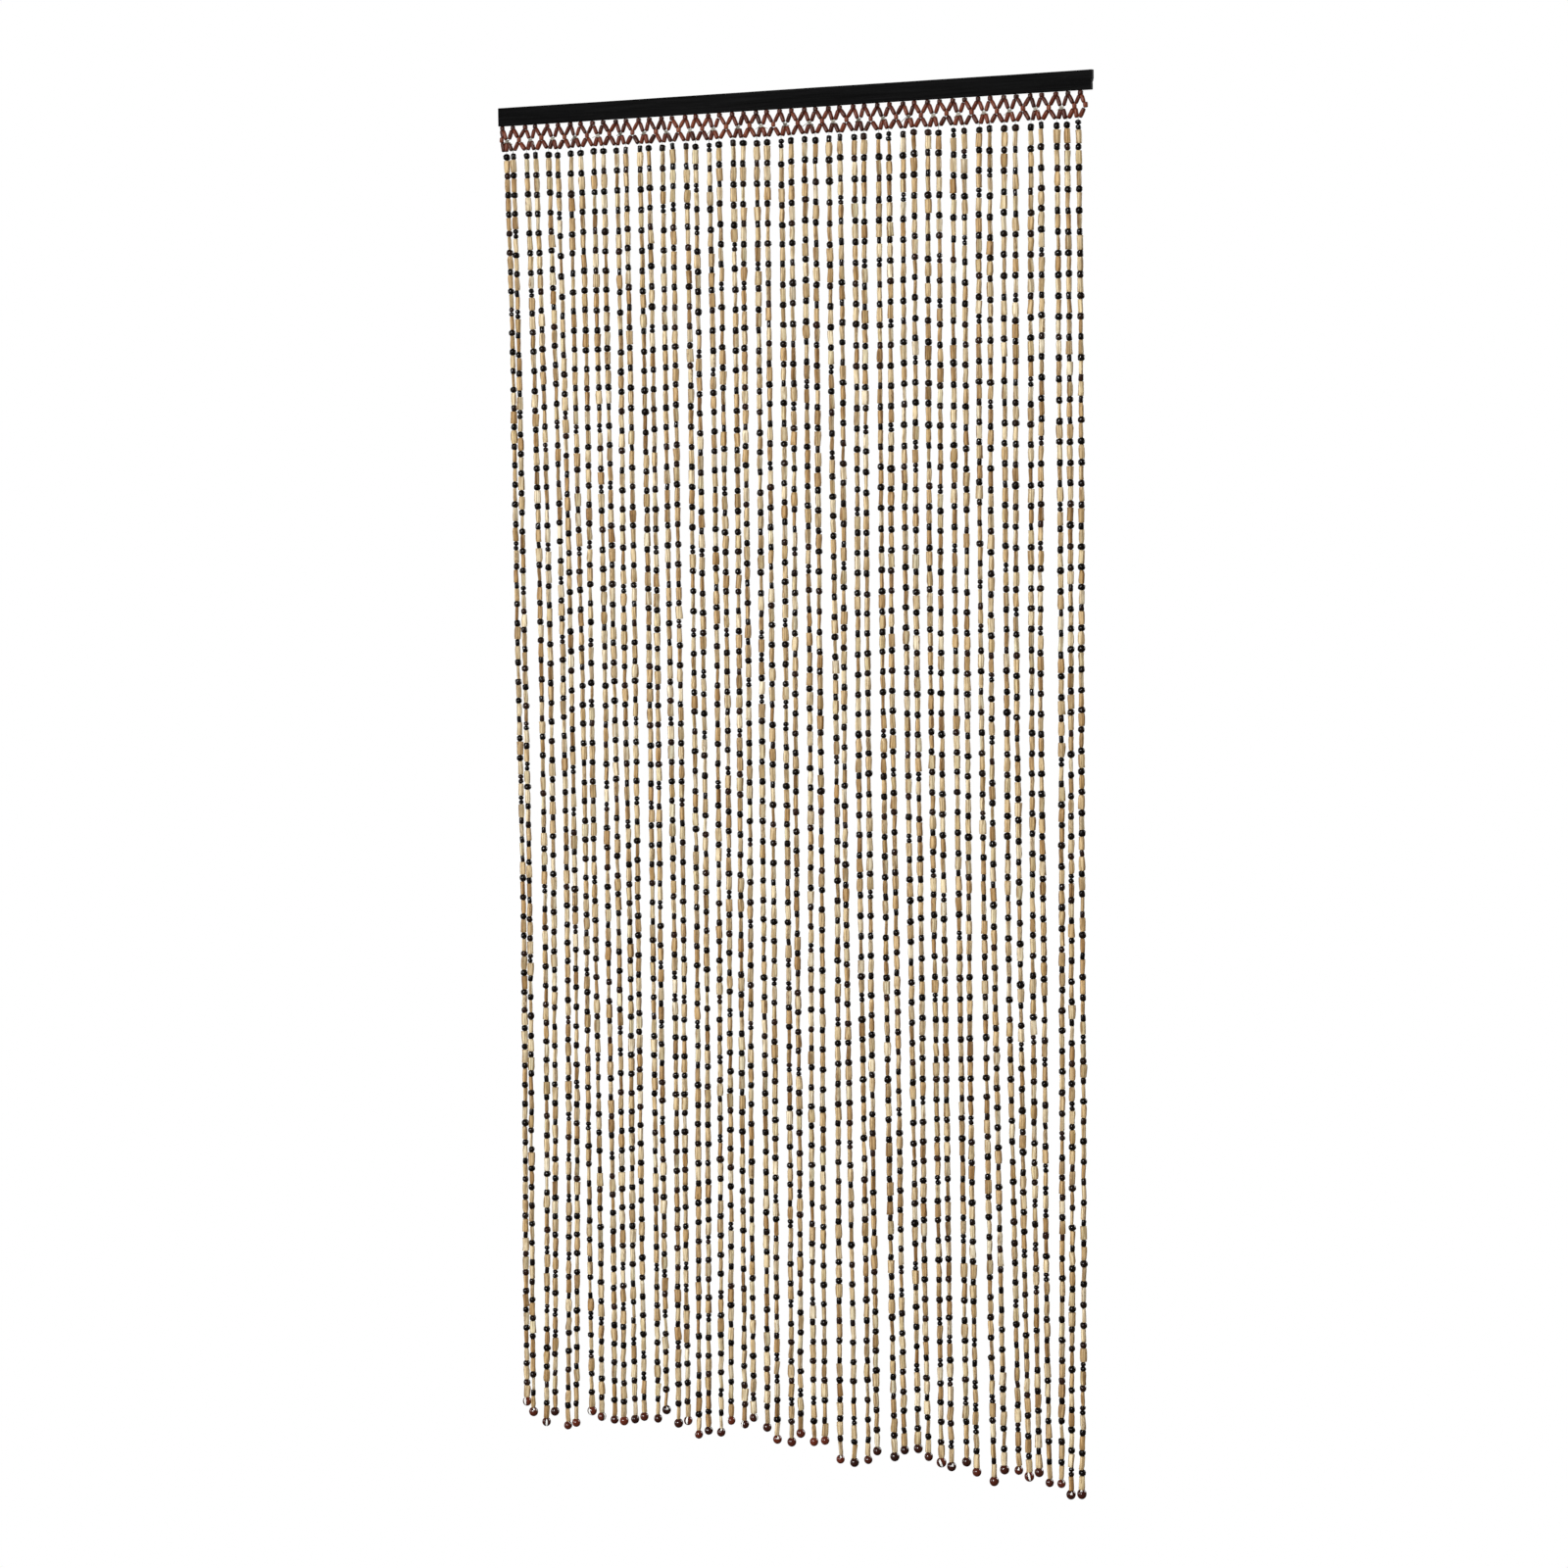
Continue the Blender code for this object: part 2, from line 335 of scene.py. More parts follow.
class HangingString:
    # the line of one string, from its root under the net to its end bead
    def __init__(self, index, vee, chance):
        first = 0
        for middleSway, hemSway, drops in bunches:
            if index < first + len(drops):
                break
            first += len(drops)
        self.x = vee.x
        self.middleSway, self.hemSway = middleSway, hemSway
        self.sideways = chance.uniform(-plan["stringWander"], plan["stringWander"])
        self.frontways = chance.uniform(-plan["stringWander"], plan["stringWander"])
        self.waves = chance.choice((2, 3, 4))
        self.splay = chance.uniform(-plan["splay"], plan["splay"])
        self.endBead = -rail["height"] - drops[index - first]
        self.root = vee.z - plan["beadEnd"]

    def at(self, height):
        drop = (self.root - height) / (self.root - self.endBead)
        x = self.x + self.middleSway * 4 * drop * (1 - drop) + self.hemSway * drop * (2 * drop - 1)
        x += self.splay * drop + self.sideways * math.sin(math.pi * self.waves * drop)
        y = self.frontways * math.sin(math.pi * (self.waves - 1) * drop)
        return np.array((x, y, height))


# Many small closed shapes gathered into one mesh

class BeadStock:
    # every bead is a stack of rings: an array of ring, side and (x, y, z)
    weaves = {}

    def __init__(self):
        self.points, self.grain, self.tone = [], [], []
        self.loops, self.totals, self.smooth = [], [], []
        self.count = 0

    @classmethod
    def weave(cls, rings, sides, flatCaps):
        key = rings, sides, flatCaps
        if key not in cls.weaves:
            loops, totals, smooth = [], [], []
            for r in range(rings - 1):
                for s in range(sides):
                    following = (s + 1) % sides
                    loops += [r * sides + s, r * sides + following,
                              (r + 1) * sides + following, (r + 1) * sides + s]
                    totals.append(4)
                    smooth.append(True)
            loops += list(range(sides))[::-1]
            loops += [(rings - 1) * sides + s for s in range(sides)]
            totals += [sides, sides]
            smooth += [not flatCaps] * 2
            cls.weaves[key] = np.array(loops), np.array(totals), np.array(smooth)
        return cls.weaves[key]

    def take(self, shape, turn, place, tone, flatCaps=False):
        # shape is in millimetres about the bead's own middle, with its length along z
        rings, sides = shape.shape[:2]
        local = shape.reshape(-1, 3)
        loops, totals, smooth = self.weave(rings, sides, flatCaps)
        self.points.append(local @ np.asarray(turn).T * mm + np.asarray(place))
        self.grain.append(local)
        self.tone.append(np.tile(np.append(tone, 1.0), (len(local), 1)))
        self.loops.append(loops + self.count)
        self.totals.append(totals)
        self.smooth.append(smooth)
        self.count += len(local)

    def make(self, name, material, slot):
        mesh = bpy.data.meshes.new(name)
        points, loops = np.concatenate(self.points), np.concatenate(self.loops)
        totals = np.concatenate(self.totals)
        mesh.vertices.add(len(points))
        mesh.vertices.foreach_set("co", points.ravel().astype(np.float32))
        mesh.loops.add(len(loops))
        mesh.loops.foreach_set("vertex_index", loops.astype(np.int32))
        mesh.polygons.add(len(totals))
        starts = np.concatenate(([0], np.cumsum(totals)[:-1]))
        mesh.polygons.foreach_set("loop_start", starts.astype(np.int32))
        mesh.polygons.foreach_set("use_smooth", np.concatenate(self.smooth))
        mesh.update(calc_edges=True)
        grain = mesh.attributes.new("grain", "FLOAT_VECTOR", "POINT")
        grain.data.foreach_set("vector", np.concatenate(self.grain).ravel().astype(np.float32))
        tone = mesh.attributes.new("tone", "FLOAT_COLOR", "POINT")
        tone.data.foreach_set("color", np.concatenate(self.tone).ravel().astype(np.float32))
        mesh.materials.append(material)
        mesh.validate()
        piece = bpy.data.objects.new(name, mesh)
        scene.collection.objects.link(piece)
        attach(piece, "root")
        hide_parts("bead_net_strings")


def turnAbout(z, tiltX, tiltY):
    # turned about its own length, then leant a little
    cz, sz = math.cos(z), math.sin(z)
    spin = np.array(((cz, -sz, 0), (sz, cz, 0), (0, 0, 1)))
    lean = np.array(((1, 0, tiltY), (0, 1, -tiltX), (-tiltY, tiltX, 1)))
    return lean @ spin


def turnAlong(direction, spin):
    # the bead's length along a direction
    z = np.asarray(direction) / np.linalg.norm(direction)
    x = np.cross((0.0, 1.0, 0.0), z)
    x /= np.linalg.norm(x)
    y = np.cross(z, x)
    c, s = math.cos(spin), math.sin(spin)
    return np.stack((x * c + y * s, y * c - x * s, z), axis=1)


def ringStack(heights, sizes, sides, halfX, halfY, power=2.0):
    # rings of a rounded section, with power 2 for an ellipse and more for squarer ones
    angle = np.arange(sides) * 2 * math.pi / sides
    c, s = np.cos(angle), np.sin(angle)
    x = np.sign(c) * np.abs(c) ** (2 / power) * halfX
    y = np.sign(s) * np.abs(s) ** (2 / power) * halfY
    shape = np.empty((len(heights), sides, 3))
    shape[..., 0] = np.outer(sizes, x)
    shape[..., 1] = np.outer(sizes, y)
    shape[..., 2] = np.asarray(heights)[:, None]
    return shape


# The strings: bamboo pieces and dark seed beads by turns, and one large bead at each end

bamboo = {
    "length": (18.4, 20.6),            # millimetres, before they are fitted to the string
    "halfWidth": (3.6, 5.2),
    "halfThickness": (2.5, 3.9),
    "splitSide": (0.72, 1.0),          # how much flatter the split side is
    "squareness": (2.1, 3.2),
    "taper": 0.26,                     # at most, how much narrower the ends are than the middle
    "sides": 9,
    "bulge": 0.3,                      # share of the taper that the middle gains
    "lopsided": 0.08,                  # how much wider one end may be
    "stray": (0.289, 0.17),            # of a cross-section from the middle line, in width and thickness
    "rough": 0.045,                    # of its outline
    "cut": 0.25,                       # how uneven the hand-cut ends are
    "endGap": 0.1,
    "lean": 0.045,
    "offset": 0.35,
    "rings": (-1.0, -0.97, -0.45, 0.45, 0.97, 1.0),
    "endRound": 0.93,
}

darkBead = {
    "sides": 10,
    # share of all, lowest and highest half width, lowest and highest height, and squareness of the profile
    "kinds": (("round", 0.56, (4.6, 5.5), (9.0, 10.2), 2.4),
              ("drum", 0.19, (4.2, 4.9), (9.2, 10.2), 3.4),
              ("barrel", 0.155, (3.3, 4.0), (9.2, 10.3), 5.0),
              ("double", 0.08, (3.8, 4.4), (6.6, 7.4), 2.3),
              ("large", 0.015, (5.5, 6.1), (10.6, 11.6), 2.1)),
    "latitudes": (-78, -50, -17, 17, 50, 78),
    "oval": (0.93, 1.04),              # how much its two half widths vary
    "squareness": 2.2,                 # of its cross-section
    "lumps": 0.035,
    "stray": 0.25,                     # of a cross-section from the middle line
    "press": 1.03,                     # height over its share of the string, so that it meets the next
    "lean": 0.10,
    "offset": 0.3,
}

endBead = {
    "half": 6.55,                      # half width, in millimetres
    "stretch": 1.05,                   # height over width
    "sizes": (0.92, 1.04),
    "pole": 86,                        # latitude of the first and last ring
    "sides": 30,
    "rings": 15,
    "bandHalf": 1.55,                  # the pale band is a lens down one side, a little raised
    "bandReach": 6.3,
    "bandRise": 0.22,
    "lean": 0.32,
    "notchFrom": 2.2,                  # on about half of the beads only the part above this shows
    "frontShare": 0.45,                # of the beads hang with the band towards the front, the rest away
    "frontTurn": (0.42, 0.50),
    "awayTurn": (2.0, 5.1),
}

stringMake = {
    "group": 7,                        # strings in one mesh
    "module": 29.44,                   # millimetres for a dark bead and a bamboo piece
    "firstBead": (-2.1, 0.3),          # how far the first bead stands above its root, in millimetres
    "looseHem": 0.16,                  # metres above the end bead where the pieces lean more
    "looseLean": 2.0,                  # and how much more
    "seed": 2024,
}


def bambooShape(dice, halfLength):
    width = dice.uniform(*bamboo["halfWidth"])
    thickness = dice.uniform(*bamboo["halfThickness"])
    taper = bamboo["taper"] * dice.uniform(0, 1) ** 2
    lopsided = dice.uniform(-bamboo["lopsided"], bamboo["lopsided"])
    rings = np.array(bamboo["rings"])
    sizes = 1 + taper * bamboo["bulge"] - taper * rings ** 2 + lopsided * rings
    sizes[[0, -1]] *= bamboo["endRound"]
    squareness = dice.uniform(*bamboo["squareness"])
    shape = ringStack(rings * halfLength, sizes, bamboo["sides"], width, thickness, squareness)
    shape[:, :, 1] *= np.where(shape[:, :, 1] > 0, 1.0, dice.uniform(*bamboo["splitSide"]))
    shape[:, :, :2] += dice.uniform(-1, 1, (len(rings), 1, 2)) * bamboo["stray"]
    shape[:, :, :2] *= 1 + dice.uniform(-1, 1, shape.shape[:2] + (1,)) * bamboo["rough"]
    shape[[0, -1], :, 2] += dice.uniform(-1, 1, (2, bamboo["sides"])) * bamboo["cut"]
    return shape


def darkShape(dice, halfWidth, halfHeight, power):
    latitude = np.radians(darkBead["latitudes"])
    heights = np.sign(latitude) * np.abs(np.sin(latitude)) ** (2 / power) * halfHeight
    sizes = np.cos(latitude) ** (2 / power)
    halves = halfWidth * dice.uniform(*darkBead["oval"], 2)
    shape = ringStack(heights, sizes, darkBead["sides"], *halves, darkBead["squareness"])
    shape *= 1 + dice.uniform(-darkBead["lumps"], darkBead["lumps"], shape.shape[:2] + (1,))
    shape[:, :, :2] += dice.uniform(-1, 1, (len(heights), 1, 2)) * darkBead["stray"]
    return shape


def endShape():
    # a round seed with a pale raised band down one side
    bend = np.radians(np.linspace(-endBead["pole"], endBead["pole"], endBead["rings"]))
    half = endBead["half"]
    shape = ringStack(np.sin(bend) * half * endBead["stretch"], np.cos(bend), endBead["sides"], half, half)
    reach = np.clip(1 - (shape[..., 2] / endBead["bandReach"]) ** 4, 0, 1)
    onBand = (np.abs(shape[..., 0]) < endBead["bandHalf"] * reach) & (shape[..., 1] < 0)
    shape[..., 1] -= onBand * endBead["bandRise"]
    return shape


def randomTone(dice, low=0.0, high=1.0):
    tone = dice.uniform(0, 1, 3)
    tone[0] = low + (high - low) * tone[0]
    return tone


def stringBeads(line, dice):
    # the sequence of one string, top to bottom: (kind, height) in millimetres, fitted to its length
    top = line.root - plan["rootLength"] + mm * dice.uniform(*stringMake["firstBead"])
    bottom = line.endBead + plan["endBeadHalf"]
    length = (top - bottom) / mm
    modules = round(length / stringMake["module"])
    shares = [kind[1] for kind in darkBead["kinds"]]
    sequence = []
    for module in range(modules):
        kind = darkBead["kinds"][dice.choice(len(shares), p=shares)]
        for repeat in range(2 if kind[0] == "double" else 1):
            sequence.append((kind, dice.uniform(*kind[3])))
        sequence.append(("bamboo", dice.uniform(*bamboo["length"])))
    fit = length / sum(height for kind, height in sequence)
    return top, [(kind, height * fit) for kind, height in sequence]


def makeString(line, dice, bambooStock, darkStock):
    height, sequence = stringBeads(line, dice)
    for kind, tall in sequence:
        middle = height - tall * mm / 2
        sideStep = line.at(height)[:2] - line.at(height - tall * mm)[:2]
        follow = sideStep / (tall * mm)                   # leans the piece along its string
        isBamboo = kind == "bamboo"
        limits = bamboo if isBamboo else darkBead
        place = line.at(middle)
        place[:2] += dice.uniform(-limits["offset"], limits["offset"], 2) * mm
        loose = middle < line.endBead + stringMake["looseHem"]
        lean = limits["lean"] * (stringMake["looseLean"] if loose else 1.0)
        tiltX = dice.uniform(-1, 1) * lean - follow[1]
        tiltY = dice.uniform(-1, 1) * lean + follow[0]
        turn = turnAbout(dice.uniform(0, 2 * math.pi), tiltX, tiltY)
        if isBamboo:
            shape = bambooShape(dice, tall / 2 - bamboo["endGap"])
            bambooStock.take(shape, turn, place, randomTone(dice), True)
        else:
            shape = darkShape(dice, dice.uniform(*kind[2]), tall / 2 * darkBead["press"], kind[4])
            darkStock.take(shape, turn, place, randomTone(dice))
        height -= tall * mm


# Threads

thread = {
    "radius": 0.45,
    "sides": 5,
    "ply": 0.32,                       # radius of one of the two twisted plies of a knot
    "plyStep": 0.38,
    "plyWinding": 0.28,
    "twist": 2.2,                      # millimetres for a full turn of the plies
    "knotHalf": 1.9,                   # half the height of thread that a knotted crossing leaves bare
    "knotSize": 1.6,
    "knotThick": 1.5,                  # how much thicker the thread is in the net's knots
    "knotCore": 1.4,                   # how much thicker it is inside them
    "knotOffset": (0.0, -0.0012, 0.0002),      # in metres, from the crossing
    "lump": (1.35, 1.0, 0.85),         # width, depth and height of a knot of size 1, times the unit
    "lumpUnit": 0.62,
    "lumpPoints": 40,
    "tones": (0.0, 0.55),              # of the knots, kept low: painted shade in their tangles
    "tail": (3.0, 7.0),                # length of a knot's loose ends
    "tailPoints": 9,
    "tailBend": 0.8,
    "tailForward": (0.0012, 0.0008),   # in metres: where it starts, and how much further it comes
    "endKnotSize": 0.8,
    "endKnotAbove": 0.0002,            # in metres, over the end bead
    "core": (0.001, -0.0015, 0.003),   # in metres: over the V, under it, and over the end bead's middle
    "coreSteps": 14,
    "guide": (0.31, 0.87, 0.38),       # a direction that no thread follows
}


def squareTo(path):
    # two directions at right angles to a path, at each of its points
    ahead = np.gradient(path, axis=0)
    ahead /= np.linalg.norm(ahead, axis=1)[:, None]
    across = np.cross(ahead, thread["guide"])
    across /= np.linalg.norm(across, axis=1)[:, None]
    return across, np.cross(ahead, across)


def tubeShape(points, radius, sides):
    # rings round a path, in the path's own units
    across, other = squareTo(points)
    angle = np.arange(sides) * 2 * math.pi / sides
    c, s = np.cos(angle)[None, :, None], np.sin(angle)[None, :, None]
    return points[:, None, :] + (c * across[:, None, :] + s * other[:, None, :]) * radius


def layThread(stock, points, radius, tone):
    # points in metres
    start = np.asarray(points[0], float)
    path = (np.asarray(points, float) - start) / mm
    stock.take(tubeShape(path, radius, thread["sides"]), np.eye(3), start, tone)


def twistedPair(stock, points, tone, thick=1.0):
    # two plies wound round a path of close points, in metres
    points = np.asarray(points, float)
    steps = np.linalg.norm(np.diff(points, axis=0), axis=1)
    along = np.concatenate(([0], np.cumsum(steps))) / mm
    fine = np.linspace(0, along[-1], max(6, int(along[-1] / thread["plyStep"])))
    path = np.stack([np.interp(fine, along, points[:, k]) for k in range(3)], axis=1)
    across, other = squareTo(path)
    for start in (0.0, math.pi):
        angle = fine / thread["twist"] * 2 * math.pi + start
        winding = np.cos(angle)[:, None] * across + np.sin(angle)[:, None] * other
        layThread(stock, path + winding * thread["plyWinding"] * thick * mm, thread["ply"] * thick, tone)


def tieKnot(stock, place, dice, size=1.0, thick=1.0):
    # a small overhand lump with two loose ends
    turns = np.linspace(0, 2 * math.pi, thread["lumpPoints"])
    lump = np.stack((np.sin(turns) + 1.6 * np.sin(2 * turns), -1.2 * np.sin(3 * turns),
                     np.cos(turns) - 1.6 * np.cos(2 * turns)), axis=1)
    lump *= np.array(thread["lump"]) * thread["lumpUnit"] * size * mm
    tone = randomTone(dice, *thread["tones"])
    twistedPair(stock, lump + np.asarray(place), tone, thick)
    t = np.linspace(0, 1, thread["tailPoints"])
    near, further = thread["tailForward"]
    for side in (-1, 1):
        reach = dice.uniform(*thread["tail"]) * size * mm
        bend = dice.uniform(-1, 1) * thread["tailBend"]
        aside = side * t * reach * dice.uniform(0.5, 1.0) + bend * t * t * reach * 0.4
        forward = near + t * further * dice.uniform(0.3, 1.0)
        up = (0.2 - t) * reach * dice.uniform(0.4, 1.0)
        twistedPair(stock, np.stack((aside, -forward, up), axis=1) + np.asarray(place), tone)


# The netted heading

netBead = {
    "radius": (3.0, 3.3),                # of the upper and the lower long beads
    "length": 14.4,
    "sides": 12,
    "rings": (-1.0, -0.93, -0.70, -0.28, 0.28, 0.70, 0.93, 1.0),
    "sizes": (0.58, 0.82, 0.96, 1.0, 1.0, 0.96, 0.82, 0.58),
    "stemRadius": 3.65,
    "stemHeight": 6.6,
    "crossingRadius": 3.3,
    "crossingHeight": 7.6,
    "stemStretch": (0.93, 1.0),
    "stemGap": 0.1,                      # under the rail
    "crossingSunk": 0.2,                 # how far the long beads reach over a crossing bead's ends
    "squareness": 2.2,
    "oval": (0.94, 1.06),                # how much a bead's two half widths vary
    "turned": 0.03,                      # unevenness of its profile
    "rough": 0.02,                       # and of its outline
    "stretch": (0.95, 1.05),             # of a long bead
    "swell": (0.94, 1.04),
    "press": 0.3,                        # how far a long bead pushes past the end of its path
    "beside": 2.0,                       # long beads end this far to the side of the point where they meet
    "apart": 1.3,                        # and lie this far apart, front to back
    "wander": 0.3,
    "upperRest": (-0.5, 0.5),            # nearer to the top (-) or bottom (+) of a path with room to spare
    "lowerRest": (-0.3, 0.7),
    "lean": {"stem": 0.1, "crossing": 0.08},
    # the stem beads take the darkest tones: painted shade under the rail
    "tones": {"stem": (0.04, 0.36), "long": (0.15, 0.88), "crossing": (0.76, 0.95)},
    "firstVeeAside": -0.0027,            # the first V, in metres, outside of its own string
}


def netBeadShape(dice, radius, length):
    sizes = np.array(netBead["sizes"])
    sizes *= 1 + dice.uniform(-1, 1, len(sizes)) * netBead["turned"]
    heights = np.array(netBead["rings"]) * length / 2
    halves = radius * dice.uniform(*netBead["oval"], 2)
    shape = ringStack(heights, sizes, netBead["sides"], *halves, netBead["squareness"])
    shape[:, :, :2] *= 1 + dice.uniform(-1, 1, shape.shape[:2] + (1,)) * netBead["rough"]
    return shape


def standUpright(dice, kind):
    lean = netBead["lean"][kind]
    return turnAbout(dice.uniform(0, 6), *dice.uniform(-lean, lean, 2))


def makeNet(stems, crossings, vees, dice, netStock, threadStock):
    railBottom = -rail["height"]
    halfCross = Vector((0, 0, (netBead["crossingHeight"] / 2 - netBead["crossingSunk"]) * mm))
    halfKnot = Vector((0, 0, thread["knotHalf"] * mm))
    knotted = set(range(1, plan["strings"], 2))

    def longBead(top, bottom, radius, lean, lift, towards):
        # its path leans to the right (1) or left (-1), and it lies nearer to one end if the path is longer
        beside = Vector((netBead["beside"] * mm * lean, lift, 0))
        start, end = top + beside, bottom + Vector((-beside.x, lift, 0))
        path = end - start
        length = netBead["length"] * dice.uniform(*netBead["stretch"])
        length = min(length, path.length / mm + 2 * netBead["press"])
        slack = (path.length / mm - length) / 2 + netBead["press"]
        middle = (start + end) / 2 + path.normalized() * slack * towards * mm
        turn = turnAlong(path, dice.uniform(0, 2 * math.pi))
        shape = netBeadShape(dice, radius * dice.uniform(*netBead["swell"]), length)
        netStock.take(shape, turn, middle, randomTone(dice, *netBead["tones"]["long"]), True)
        layThread(threadStock, (top, start, end, bottom), thread["radius"], randomTone(dice))

    for i, (stem, vee) in enumerate(zip(stems, vees)):
        stemMiddle = Vector((stem.x, 0, railBottom - (netBead["stemHeight"] / 2 + netBead["stemGap"]) * mm))
        height = netBead["stemHeight"] * dice.uniform(*netBead["stemStretch"])
        shape = netBeadShape(dice, netBead["stemRadius"], height)
        turn = standUpright(dice, "stem")
        # its darker tone is painted shade under the rail
        netStock.take(shape, turn, stemMiddle, randomTone(dice, *netBead["tones"]["stem"]), True)
        core = (stem.x, 0, railBottom), stemMiddle, stem
        layThread(threadStock, core, thread["radius"], randomTone(dice))
        for side, j in ((-1, i), (1, i + 1)):
            half = halfKnot if j in knotted else halfCross
            lift = (netBead["apart"] / 2 * -side + dice.uniform(-netBead["wander"], netBead["wander"])) * mm
            upper, lower = netBead["radius"]
            longBead(stem, crossings[j] + half, upper, side, lift, dice.uniform(*netBead["upperRest"]))
            longBead(crossings[j] - half, vee, lower, -side, -lift, dice.uniform(*netBead["lowerRest"]))
    for j, crossing in enumerate(crossings):
        if j in knotted:
            knot = crossing + Vector(thread["knotOffset"])
            tieKnot(threadStock, knot, dice, thread["knotSize"], thread["knotThick"])
            core = crossing + halfKnot, crossing, crossing - halfKnot
            layThread(threadStock, core, thread["radius"] * thread["knotCore"], randomTone(dice))
        else:
            shape = netBeadShape(dice, netBead["crossingRadius"], netBead["crossingHeight"])
            turn = standUpright(dice, "crossing")
            netStock.take(shape, turn, crossing, randomTone(dice, *netBead["tones"]["crossing"]), True)


# Finishes

ownStretch = (61.0, 37.0, 83.0)      # tone times this gives each piece its own stretch of a pattern


def bambooFinish():
    f = Finish("bambooSplit", IOR=1.45, Specular_IOR_Level=0.22)
    local = f.attribute("grain", "Vector")
    tone = f.attribute("tone", "Color")
    own = local + tone * (83.0, 57.0, 91.0)
    streak = f.noise(own * (0.7, 0.7, 0.035), 1.0, 4.0, 0.55)
    bold = f.noise(own * (0.62, 0.62, 0.022), 1.0, 1.0, 0.4).ease(0.45, 0.55)
    fibre = f.noise(own * (4.0, 4.0, 0.16), 1.0, 2.0, 0.5)
    cloud = f.noise(own * (0.25, 0.25, 0.12), 1.0, 3.0)
    base = f.ramp(tone.part("r"), [
        (0.0, (0.72, 0.64, 0.48)), (0.18, (0.64, 0.535, 0.35)), (0.52, (0.55, 0.422, 0.245)),
        (0.82, (0.49, 0.34, 0.170)), (1.0, (0.37, 0.225, 0.092))])
    shade = 0.42 + streak * 0.70 + bold * 0.44 + (fibre - 0.5) * 0.36 + (cloud - 0.5) * 0.40
    colour = f.mix(bold, base * (0.96, 0.87, 0.76), base) * shade
    olive = tone.part("g").ease(0.72, 0.95)
    colour = f.mix(olive * 0.30, colour, colour * (0.86, 0.98, 0.92))
    skin = local.part("y").ease(0.8, 2.4)                 # the outer skin is yellower and smoother
    colour = f.mix(skin * 0.4, colour, colour * (1.04, 0.97, 0.84))
    # painted shade: both long edges of every piece are darkened, as where its rounded sides turn from the
    # light; torn patches keep to the same edges
    edge = abs(local.part("x")).ease(3.0, 4.1)
    colour = f.mix(edge * (0.30 + tone.part("g") * 0.60), colour, colour * (0.50, 0.39, 0.29))
    torn = f.noise(own * (0.7, 0.7, 0.22), 1.0, 3.0).ease(0.50, 0.60) * edge * (tone.part("b") < 0.30)
    colour = f.mix(torn * 0.7, colour, (0.150, 0.078, 0.034))       # inner wood, where an edge has torn
    ends = abs(local.part("z")).ease(8.6, 10.2)
    colour = f.mix(ends * 0.35, colour, colour * (0.68, 0.58, 0.47))
    speck = f.noise(own * (0.8, 0.8, 0.42), 1.0, 2.0).ease(0.66, 0.72) * (tone.part("b") > 0.88)
    colour = f.mix(speck * 0.85, colour, (0.075, 0.036, 0.016))
    return f.wear(colour, 0.60 - skin * 0.18 + (fibre - 0.5) * 0.15, streak + fibre * 0.5, 0.4, 0.0003)


def darkFinish():
    f = Finish("darkSeed", IOR=1.45, Specular_IOR_Level=0.13, Coat_Roughness=0.06)
    tone = f.attribute("tone", "Color")
    own = f.attribute("grain", "Vector") + tone * ownStretch
    cloud = f.noise(own, 0.55, 3.0)
    pits = f.noise(own, 2.2, 3.0, 0.6)
    base = f.ramp(tone.part("r"), [
        (0.0, (0.0020, 0.0012, 0.0009)), (0.60, (0.0052, 0.0026, 0.0017)),
        (0.88, (0.012, 0.0055, 0.0034)), (1.0, (0.026, 0.0100, 0.0060))])
    colour = base * (0.55 + cloud * 0.9)
    # some are polished, most are dull
    f.put(f.shader.inputs["Coat Weight"], 0.18 + tone.part("g") ** 2.0 * 0.80)
    return f.wear(colour, 0.26 + pits * 0.24, pits, 0.12, 0.0003)


def netFinish():
    f = Finish("redStain", IOR=1.45, Specular_IOR_Level=0.30)
    tone = f.attribute("tone", "Color")
    local = f.attribute("grain", "Vector")
    own = local + tone * ownStretch
    streak = f.noise(own * (1.1, 1.1, 0.14), 1.0, 3.0, 0.6)
    base = f.ramp(tone.part("r"), [
        (0.0, (0.022, 0.006, 0.002)), (0.22, (0.066, 0.011, 0.004)), (0.60, (0.142, 0.024, 0.008)),
        (0.86, (0.200, 0.042, 0.015)), (1.0, (0.290, 0.086, 0.029))])
    colour = base * (0.08 + streak * 1.42)
    rubbedAndHighlight = streak.ease(0.53, 0.70) * (0.25 + tone.part("g") * 0.75)
    colour = f.mix(rubbedAndHighlight * 0.60, colour, (0.38, 0.20, 0.13))     # stain worn thin along the grain, with its light pinkish streaks also a painted highlight
    # painted shade: each bead darkens towards both ends, where it meets its neighbours
    ends = abs(local.part("z")).ease(3.6, 6.8)
    colour = f.mix(ends * 0.75, colour, colour * (0.36, 0.28, 0.25))
    return f.wear(colour, 0.32 + streak * 0.16, streak, 0.4, 0.0003)


